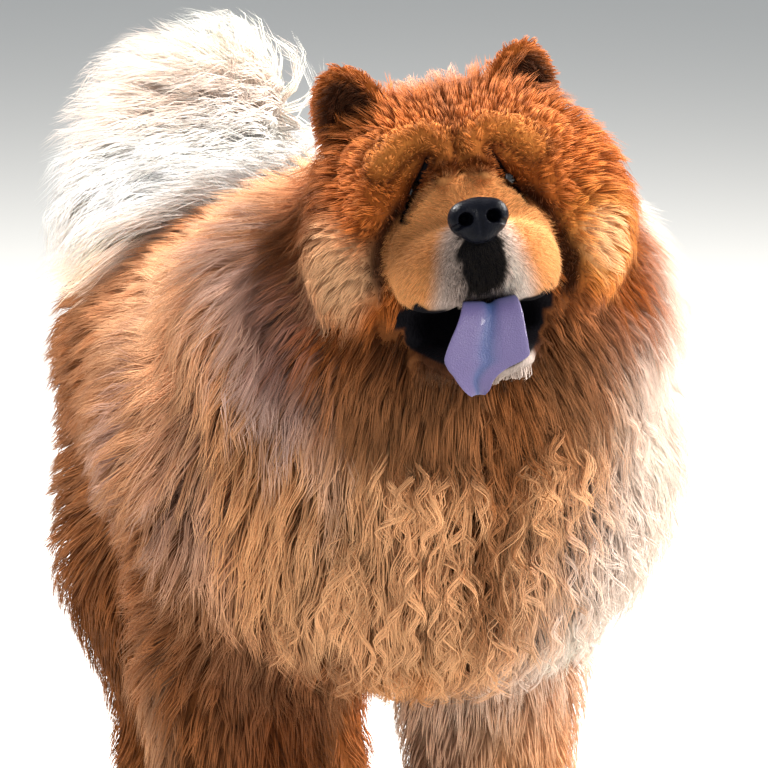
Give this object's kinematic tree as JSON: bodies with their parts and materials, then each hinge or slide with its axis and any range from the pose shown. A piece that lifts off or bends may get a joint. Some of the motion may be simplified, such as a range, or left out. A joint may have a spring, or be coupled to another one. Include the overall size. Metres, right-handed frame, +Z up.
{
  "type": "chow chow",
  "caption": "Life-size standing chow chow with a thick red coat, curled pale tail, open mouth and blue-violet tongue.",
  "frame": {"origin": "on the floor under the middle of the whole dog", "axes": "+Z is up, the dog faces -Y and its left side is +X"},
  "size_m": [0.4426, 0.8008, 0.7108],
  "materials": {
    "face_coat": "short plush red fur",
    "red_coat": "long dense red-gold fur",
    "pale_coat": "long cream fur",
    "nose_skin": "pebbled damp leather",
    "tongue_skin": "wet, fine papillae",
    "eye_surface": "glossy dark brown",
    "claw_horn": "dark horn"
  },
  "bodies": {
    "root": {"muzzle": "face_coat", "lower_jaw": "face_coat", "head": "face_coat", "neck": "red_coat", "chest": "red_coat", "loin": "red_coat", "rump": "red_coat", "foreleg_right": "red_coat", "foreleg_left": "red_coat", "thigh_right": "red_coat", "thigh_left": "red_coat", "hindleg_right": "red_coat", "hindleg_left": "red_coat", "forepaw_right": "red_coat", "forepaw_left": "red_coat", "hindpaw_right": "red_coat", "hindpaw_left": "red_coat", "tail_base": "red_coat", "tail_plume": "pale_coat", "ear_right": "face_coat", "ear_left": "face_coat", "nose": "nose_skin", "tongue": "tongue_skin", "eye_right": "eye_surface", "eye_left": "eye_surface", "claw_forepaw_right_1": "claw_horn", "claw_forepaw_right_2": "claw_horn", "claw_forepaw_right_3": "claw_horn", "claw_forepaw_right_4": "claw_horn", "claw_forepaw_left_1": "claw_horn", "claw_forepaw_left_2": "claw_horn", "claw_forepaw_left_3": "claw_horn", "claw_forepaw_left_4": "claw_horn", "claw_hindpaw_right_1": "claw_horn", "claw_hindpaw_right_2": "claw_horn", "claw_hindpaw_right_3": "claw_horn", "claw_hindpaw_right_4": "claw_horn", "claw_hindpaw_left_1": "claw_horn", "claw_hindpaw_left_2": "claw_horn", "claw_hindpaw_left_3": "claw_horn", "claw_hindpaw_left_4": "claw_horn"}
  },
  "joints": []
}
